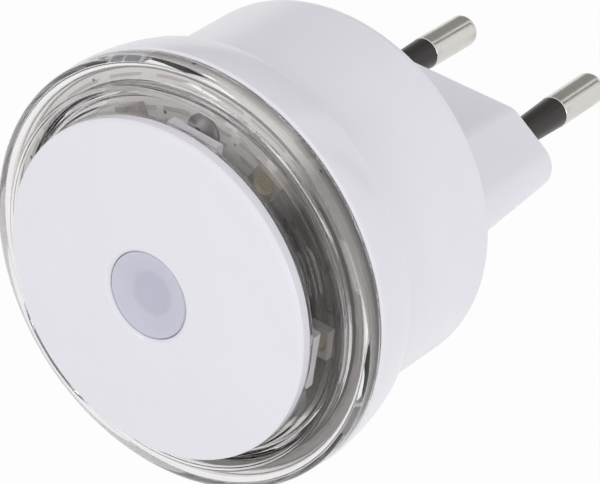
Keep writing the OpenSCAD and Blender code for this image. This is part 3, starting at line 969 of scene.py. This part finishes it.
@dataclass
class Housing:
    """The drum and the plug body in one moulding."""

    sizes: Sizes = SIZES
    wall: float = 1.7
    edge_r: float = 1.6
    collar_r: float = 23.45
    collar_z: tuple[float, float] = (11.1, 12.6)
    plug_w: float = 33.8
    plug_t: float = 11.7
    flat_w: float = 24.6
    end_r: float = 3.0
    corner_r: float = 2.5
    edge_steps: int = 10
    facet_turn: float = 0.4
    near: float = 0.01
    draft: float = 1.4
    face_edge: float = 1.2
    face_steps: int = 6
    root: float = 0.85

    def drum(self) -> bpy.types.Object:
        """Turns the drum: an open shell with a rounded rear edge and a collar that the bezel holds.

        Returns:
            The drum.
        """
        s = self.sizes
        collar_front, collar_back = self.collar_z
        corners = [
            Corner(0, s.back_z), Corner(s.drum_r, s.back_z, self.edge_r, 8), Corner(s.drum_r, collar_back),
            Corner(self.collar_r, collar_back, 0.1, 2), Corner(self.collar_r, collar_front, 0.1, 2),
            Corner(s.drum_r, collar_front), Corner(s.drum_r, s.board_back, 0.15, 2),
            Corner(s.drum_in_r, s.board_back, 0.15, 2), Corner(s.drum_in_r, s.back_z - self.wall, 0.8, 4),
            Corner(0, s.back_z - self.wall)]
        return Turning("rear_housing", corners, s.turn_steps, ring=False, zero=-s.face_z).model()

    def sharp_corners(self) -> tuple[float, float, float]:
        """The corners of the plug body's outline, before they are rounded.

        Returns:
            X and Z of the corner at the end of a flat, and X of the one at the pointed end.
        """
        flat = (self.flat_w / 2 - self.corner_r, self.plug_t / 2 - self.corner_r)
        end = (self.plug_w / 2 - self.end_r, 0.0)
        lean = math.atan2(end[1] - flat[1], end[0] - flat[0]) + math.pi / 2
        lean += math.asin((self.end_r - self.corner_r) / math.dist(flat, end))
        nx, nz = math.cos(lean), math.sin(lean)
        reach = flat[0] * nx + flat[1] * nz + self.corner_r
        return (reach - nz * self.plug_t / 2) / nx, self.plug_t / 2, reach / nx

    def sharp(self, edge: Any) -> bool:
        """Whether an edge turns by more than the facets of a rounding do."""
        return len(edge.link_faces) == 2 and edge.calc_face_angle() > self.facet_turn

    def plug(self) -> bpy.types.Object:
        """Models the plug body: a six-sided bar with its long edges rounded, drafted towards the drum.

        Returns:
            The plug body.
        """
        s = self.sizes
        length = s.face_z - s.back_z + self.root
        flat_x, flat_z, end_x = self.sharp_corners()
        lean = math.atan2(flat_z, end_x - flat_x)
        outline = [(-flat_x, -flat_z), (flat_x, -flat_z), (end_x, 0),
                   (flat_x, flat_z), (-flat_x, flat_z), (-end_x, 0)]
        bpy.ops.object.select_all(action="DESELECT")
        bpy.ops.mesh.primitive_cylinder_add(vertices=6, radius=MM, depth=length * MM, end_fill_type="NGON")
        bar = bpy.context.active_object
        bar.rotation_euler = (math.pi / 2, 0, 0)
        bar.location = (0, -length / 2 * MM, 0)
        bpy.ops.object.transform_apply(location=True, rotation=True, scale=True)
        with editing(bar):
            mesh = bmesh.from_edit_mesh(bar.data)
            for end in (0.0, -length * MM):
                row = [v for v in mesh.verts if abs(v.co.y - end) < LEVEL]
                row.sort(key=lambda v: math.atan2(v.co.z, v.co.x))
                for vertex, (x, z) in zip(row, outline):
                    vertex.co.x, vertex.co.z = x * MM, z * MM
            bmesh.update_edit_mesh(bar.data)
            for radius, at_end in ((self.end_r, True), (self.corner_r, False)):
                turn = math.pi - 2 * lean if at_end else lean
                pick(bar, Element.EDGE, lambda e: abs(e.verts[0].co.y - e.verts[1].co.y) > length * MM / 2
                     and (abs(e.verts[0].co.x) > (end_x - self.near) * MM) == at_end and self.sharp(e))
                # With this profile the middle of the bevel lies on the circle that touches both sides.
                share = math.cos(turn / 2) / (1 + math.cos(turn / 2))
                bpy.ops.mesh.bevel(offset=radius * math.tan(turn / 2) * MM, segments=self.edge_steps,
                                   affect="EDGES", profile=((1 + share) / 2) ** 2)
            pick(bar, Element.FACE, lambda f: f.normal.y < -FACING)
            bpy.ops.mesh.delete(type="ONLY_FACE")
            pick(bar, Element.VERT, lambda v: v.co.y < -length * MM / 2)
            bpy.ops.transform.shrink_fatten(value=self.draft * length / (length - self.root) * MM,
                                            use_even_offset=True)
            bpy.ops.mesh.edge_face_add()
            pick(bar, Element.EDGE, lambda e: all(v.co.y > -LEVEL for v in e.verts))
            bpy.ops.mesh.bevel(offset=self.face_edge * MM, segments=self.face_steps, affect="EDGES")
            close_up()
        return bar

    def build(self) -> None:
        """Unites drum and plug body."""
        drum, plug = self.drum(), self.plug()
        modify(drum, "BOOLEAN", operation="UNION", object=plug, solver="EXACT")
        bpy.data.objects.remove(plug)
        with editing(drum):
            close_up()
        smooth(drum, degrees=28)
        hand_over(drum, WHITE_SATIN, "white_satin", "rear_housing")


class Side(Enum):
    """The two sides of the lamp, and which way each lies along X."""

    LEFT = -1
    RIGHT = 1


@dataclass
class Pins:
    """The two round pins and their black sleeves. Their depths run from the engagement face."""

    pitch: float = 19.1
    lean: float = 0.2
    length: float = 19.5
    pin_r: float = 2.0
    tip_r: float = 1.2
    shank_r: float = 1.2
    tail_r: float = 1.0
    tail_end: float = 11.9
    collar_r: float = 2.7
    collar_at: float = 3.1
    collar_len: float = 1.6
    sleeve_len: float = 10.5
    sleeve_r: float = 1.95
    root_r: float = 1.65
    straight: float = 3.0
    gap: float = 0.05
    turn_steps: int = 72

    def pin(self) -> list[Corner]:
        """A pin's profile: a solder tail, a collar, a shank and the bare end with its blunt tip."""
        back = -self.collar_at - self.collar_len
        return [
            Corner(0, -self.tail_end), Corner(self.tail_r, -self.tail_end, 0.15, 2),
            Corner(self.tail_r, back), Corner(self.collar_r, back, 0.1, 2),
            Corner(self.collar_r, -self.collar_at, 0.1, 2), Corner(self.shank_r, -self.collar_at),
            Corner(self.shank_r, self.sleeve_len), Corner(self.pin_r, self.sleeve_len, 0.12, 3),
            Corner(self.pin_r, self.length, self.tip_r, 10), Corner(0, self.length)]

    def sleeve(self) -> list[Corner]:
        """A sleeve's profile: straight past the wall, then slightly flared to the bare end."""
        bore, end = self.shank_r + self.gap, self.sleeve_len - self.gap
        return [
            Corner(bore, -self.collar_at), Corner(self.root_r, -self.collar_at, 0.05, 2),
            Corner(self.root_r, self.straight, 0.6, 4), Corner(self.sleeve_r, end, 0.12, 3),
            Corner(bore, end)]

    def build(self) -> None:
        """Builds both pins and sleeves, and leans each in by its small angle."""
        angle = math.atan(self.lean / self.length)
        for side in Side:
            for kind, corners, ring, finish in (
                    ("pin", self.pin(), False, PIN_METAL), ("sleeve", self.sleeve(), True, SLEEVE_BLACK)):
                node = f"{kind}_{side.name.lower()}"
                piece = Turning(node, corners, self.turn_steps, ring).model()
                piece.location = (side.value * self.pitch / 2 * MM, 0, 0)
                piece.rotation_euler = (0, 0, side.value * angle)
                alone(piece)
                bpy.ops.object.transform_apply(location=True, rotation=True, scale=False)
                smooth(piece, degrees=30)
                hand_over(piece, finish, finish.name, node)


@dataclass(frozen=True)
class BoardPart:
    """How a part behind the board is dressed.

    A body's half is half its length along X, and 0 where it is as wide as its node. A band is a place
    from the body's middle, a width and a colour. The suffix tells materials of one slot apart.
    """

    node: str
    slot: str
    body: Colour
    roughness: float
    edge: float
    half: float = 0.0
    bands: tuple[tuple[float, float, Colour], ...] = ()
    suffix: str = ""


@dataclass
class Inside:
    """What the closed lamp holds: the CAD's own shapes, merged, with their sharp edges broken.

    Faces within flat_to degrees of each other become one, and edges past sharp_from degrees are bevelled.
    A body's box ends at far where nothing else ends it. The chips and the sensor stand before the board.
    """

    sizes: Sizes = SIZES
    weld: float = 0.002
    flat_to: float = 0.8
    sharp_from: float = 40.0
    far: float = 60.0
    clear: float = 1.0
    past: float = 0.02
    behind: float = 0.25
    wire_bare: float = 0.24
    chip_t: float = 1.1
    sensor_t: tuple[float, float] = (2.7, 0.95)
    parts: tuple[BoardPart, ...] = (
        BoardPart("film_capacitor", "capacitor_ochre", (0.7, 0.42, 0.1), 0.28, 0.25),
        BoardPart("filter_capacitor", "can_blue", (0.045, 0.06, 0.2), 0.25, 0.08),
        BoardPart("switch_transistor", "dark_plastic", DARK_PLASTIC.colour, 0.42, 0.08, suffix="_body"),
        BoardPart("bridge_rectifier", "dark_plastic", DARK_PLASTIC.colour, 0.42, 0.12, suffix="_block"),
        BoardPart("fuse_resistor", "resistor_blue", (0.25, 0.42, 0.6), 0.25, 0.15, 4.25,
                  ((-2.6, 0.7, (0.4, 0.1, 0.06)), (-0.9, 0.7, (0.03, 0.03, 0.03)),
                   (0.8, 0.7, (0.75, 0.5, 0.05)))),
        BoardPart("bleed_resistor", "sensor_tan", (0.72, 0.58, 0.4), 0.25, 0.15, 3.15,
                  ((-1.8, 0.5, (0.4, 0.1, 0.06)), (-0.6, 0.5, (0.05, 0.25, 0.1)),
                   (0.6, 0.5, (0.7, 0.55, 0.05)))),
        BoardPart("zener_diode", "diode_red", (0.7, 0.22, 0.08), 0.25, 0.15, 2.0,
                  ((1.2, 0.6, (0.02, 0.02, 0.02)),)))

    @property
    def behind_board(self) -> float:
        """A place on Y just behind the board, where the bodies of its parts start."""
        return self.sizes.board_back - self.sizes.face_z + self.behind

    def refined(self, node: str, edge: float) -> bpy.types.Object:
        """Copies a CAD node, with its loose triangles merged and its sharp edges bevelled.

        Args:
            node: The CAD node.
            edge: The bevel's width, or 0 for none.

        Returns:
            The copy.
        """
        alone(frame["nodes"][node])
        bpy.ops.object.duplicate()
        piece = bpy.context.active_object
        piece.name = piece.data.name = f"{node}_look"
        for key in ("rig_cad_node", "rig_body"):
            if key in piece:
                del piece[key]
        piece.parent = None
        with editing(piece):
            bpy.ops.mesh.select_all(action="SELECT")
            bpy.ops.mesh.remove_doubles(threshold=self.weld * MM)
            bpy.ops.mesh.dissolve_limited(angle_limit=math.radians(self.flat_to))
        if edge:
            modify(piece, "BEVEL", width=edge * MM, segments=2, limit_method="ANGLE",
                   angle_limit=math.radians(self.sharp_from), use_clamp_overlap=True)
        smooth(piece, degrees=32)
        return piece

    def supply(self) -> Iterator[tuple[str, float, Finish, str]]:
        """How the supply's parts, behind the board, are refined and dressed.

        Yields:
            What dressings yields.
        """
        for part in self.parts:
            low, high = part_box(part.node)
            middle = (low.x + high.x) / 2 / MM
            if part.half:
                start = (middle - part.half - self.past, self.behind_board, -self.far)
                end = (middle + part.half + self.past, self.far, self.far)
            else:
                start = (low.x / MM - self.clear, self.behind_board, low.z / MM - self.clear)
                end = (high.x / MM + self.clear, self.far, high.z / MM + self.clear)
            bands = tuple((middle + at, width, colour) for at, width, colour in part.bands)
            finish = LeadedPart(part.slot + part.suffix, part.body, start, end, part.roughness, bands)
            yield part.node, part.edge, finish, part.slot

    def dressings(self) -> Iterator[tuple[str, float, Finish, str]]:
        """How each inner node is refined and dressed.

        Yields:
            A node, the width of its bevelled edges, its finish and its slot.
        """
        s, far = self.sizes, self.far
        yield "sensor_hood", 0.08, DARK_PLASTIC, "dark_plastic"
        yield "pin_clamp", 0.1, WHITE_SATIN, "white_satin"
        yield "clamp_screws", 0.04, SCREW_STEEL, "screw_steel"
        yield "board_screws", 0.04, SCREW_BLACK, "screw_steel"
        yield "circuit_board", 0.0, BOARD_DARK, "board_dark"
        yield "led_lamps", 0.05, LampChip("lamp_yellow", s.board_z - self.chip_t - s.face_z), "lamp_yellow"
        bare_z = self.behind_board - self.wire_bare
        for side, name, colour in ((Side.LEFT, "wire_brown", (0.22, 0.1, 0.05)),
                                   (Side.RIGHT, "wire_blue", (0.06, 0.17, 0.5))):
            cover = LeadedPart(name, colour, (-far, bare_z, -far), (far, far, far), 0.38)
            yield f"wire_{side.name.lower()}", 0.0, cover, name
        front, back = (s.board_z - s.face_z - t for t in self.sensor_t)
        tracks = tuple((at, 0.35, (0.6, 0.2, 0.05)) for at in (-0.9, 0, 0.9))
        sensor = LeadedPart("sensor_tan", (0.72, 0.55, 0.36),
                            (-far, front, -far), (far, back, far), 0.5, tracks)
        yield "light_sensor", 0.05, sensor, "sensor_tan"
        yield from self.supply()

    def build(self) -> None:
        """Refines and dresses each inner node."""
        for node, edge, finish, slot in self.dressings():
            hand_over(self.refined(node, edge), finish, slot, node)


# ---------- studio


@dataclass(frozen=True)
class Panel:
    """A soft lamp or a card, with the lamp's power in watts or the card's tone as its strength.

    A lamp's height runs along a direction.
    """

    name: str
    place: Point
    width: float
    height: float
    strength: float
    along: Point = (0, 0, 1)


@dataclass
class Studio:
    """A pale floor, soft light and the camera of the photograph, which sees what is in clip, in metres."""

    azimuth: float = 33.059
    elevation: float = 32.517
    roll: float = 7.024
    place: Point = (224.067, -370.468, 255.724)
    focal_px: float = 4251.5
    frame_px: int = 600
    sensor_w: float = 36.0
    clip: tuple[float, float] = (0.01, 20.0)
    floor_z: float = -120.0
    floor_size: float = 6000.0
    floor_glow: float = 0.92
    world_light: float = 0.74
    aim: Point = (0, -30, 0)
    card_tint: Colour = (1.0, 0.96, 0.93)
    lamps: tuple[Panel, ...] = (
        Panel("key", (-400, -700, 560), 220, 220, 0.8),
        Panel("strip", (60, -930, 240), 80, 900, 1.15, (-0.6, 0, 0.35)),
        Panel("fill", (700, -160, 160), 300, 300, 0.85))
    cards: tuple[Panel, ...] = (
        Panel("card_grey", (-500, 1000, 750), 1100, 1300, 0.36),
        Panel("card_dark", (300, 800, 640), 130, 1100, 0.02))

    def camera(self) -> None:
        """Places the camera and makes it the scene's."""
        az, el, roll = (math.radians(a) for a in (self.azimuth, self.elevation, self.roll))
        back = Vector((math.sin(az) * math.cos(el), -math.cos(az) * math.cos(el), math.sin(el)))
        side = (-back).cross(Vector((0, 0, 1))).normalized()
        up = side.cross(-back)
        right = math.cos(roll) * side + math.sin(roll) * up
        top = math.cos(roll) * up - math.sin(roll) * side
        data = bpy.data.cameras.new("camera")
        data.sensor_fit, data.sensor_width = "HORIZONTAL", self.sensor_w
        data.lens = self.focal_px * self.sensor_w / self.frame_px
        data.clip_start, data.clip_end = self.clip
        camera = bpy.data.objects.new("camera", data)
        turn = Matrix((right, top, back)).transposed().to_4x4()
        camera.matrix_world = Matrix.Translation(Vector(self.place) * MM) @ turn
        bpy.context.scene.collection.objects.link(camera)
        bpy.context.scene.camera = camera

    @staticmethod
    def seen_directly(graph: Graph) -> Flow:
        """One for what the camera, gloss and clear plastic show, and zero for light on surfaces."""
        return graph.rays("Camera", "Glossy", "Transmission")

    def world(self) -> None:
        """Lights the scene from all round, and shows white where nothing stands."""
        world = bpy.data.worlds.new("studio")
        bpy.context.scene.world = world
        graph = Graph(world)
        strength = self.seen_directly(graph) * (1 - self.world_light) + self.world_light
        glow = graph.add("ShaderNodeBackground", None, {"Color": WHITE, "Strength": strength})
        graph.end(glow, "ShaderNodeOutputWorld")

    def floor(self) -> None:
        """Lays a wide pale floor, which shows nearly white and keeps the lamp's shadow."""
        bpy.ops.object.select_all(action="DESELECT")
        bpy.ops.mesh.primitive_plane_add(size=self.floor_size * MM, location=(0, 0, self.floor_z * MM))
        floor = bpy.context.active_object
        floor.name = "floor"
        graph = Graph.of_material("floor_white")
        tone = graph.mix(graph.noise(40, 3) * 0.2, (0.9, 0.9, 0.9), (0.86, 0.86, 0.86))
        matt = graph.add("ShaderNodeBsdfPrincipled", None, {"Base Color": tone, "Roughness": 0.7})
        glow = graph.add("ShaderNodeEmission", None, {"Color": WHITE, "Strength": 1.0})
        share = self.seen_directly(graph) * self.floor_glow
        both = graph.add("ShaderNodeMixShader", None, {0: share, 1: matt.outputs[0], 2: glow.outputs[0]})
        floor.data.materials.append(graph.end(both))

    def hang(self, soft: Panel) -> None:
        """Hangs a soft lamp that shines at the drum, and that no light from a matt surface shows again.

        Args:
            soft: The lamp.
        """
        data = bpy.data.lights.new(soft.name, "AREA")
        data.shape, data.energy = "RECTANGLE", soft.strength
        data.size, data.size_y = soft.width * MM, soft.height * MM
        graph = Graph(data)
        depth = Flow(graph, graph.add("ShaderNodeLightPath").outputs["Diffuse Depth"])
        stray = (depth > 0.5) * (self.seen_directly(graph) > 0.5)
        glow = graph.add("ShaderNodeEmission", None, {"Color": WHITE, "Strength": 1 - stray})
        graph.end(glow, "ShaderNodeOutputLight")
        lamp = bpy.data.objects.new(soft.name, data)
        back = (Vector(soft.place) - Vector(self.aim)).normalized()
        side = Vector(soft.along).cross(back).normalized()
        turn = Matrix((side, back.cross(side), back)).transposed().to_4x4()
        lamp.matrix_world = Matrix.Translation(Vector(soft.place) * MM) @ turn
        bpy.context.scene.collection.objects.link(lamp)

    def stand(self, sheet: Panel) -> None:
        """Stands up a card that faces the lamp and that only gloss shows, for bare metal to reflect.

        Args:
            sheet: The card.
        """
        bpy.ops.object.select_all(action="DESELECT")
        bpy.ops.mesh.primitive_plane_add(size=1)
        card = bpy.context.active_object
        card.name = sheet.name
        card.scale = Vector((sheet.width, sheet.height, 1)) * MM
        card.rotation_euler = Vector(sheet.place).to_track_quat("Z", "Y").to_euler()
        card.location = Vector(sheet.place) * MM
        for ray in ("camera", "diffuse", "transmission", "shadow", "volume_scatter"):
            setattr(card, f"visible_{ray}", False)
        graph = Graph.of_material(sheet.name)
        tone = shade((sheet.strength,) * 3, *self.card_tint)
        glow = graph.add("ShaderNodeEmission", None, {"Color": tone, "Strength": 1.0})
        card.data.materials.append(graph.end(glow))

    def build(self) -> None:
        """Sets up the studio."""
        bpy.context.scene.view_settings.view_transform = "Standard"
        self.camera()
        self.world()
        self.floor()
        for soft in self.lamps:
            self.hang(soft)
        for sheet in self.cards:
            self.stand(sheet)


def main() -> None:
    """Builds the lamp and the studio."""
    logging.basicConfig(level=logging.INFO, format="%(name)s: %(message)s")
    for assembly in (FrontDisc(), ClearRing(), Bezel(), Housing(), Pins(), Inside(), Studio()):
        assembly.build()


if __name__ == "__main__":
    main()
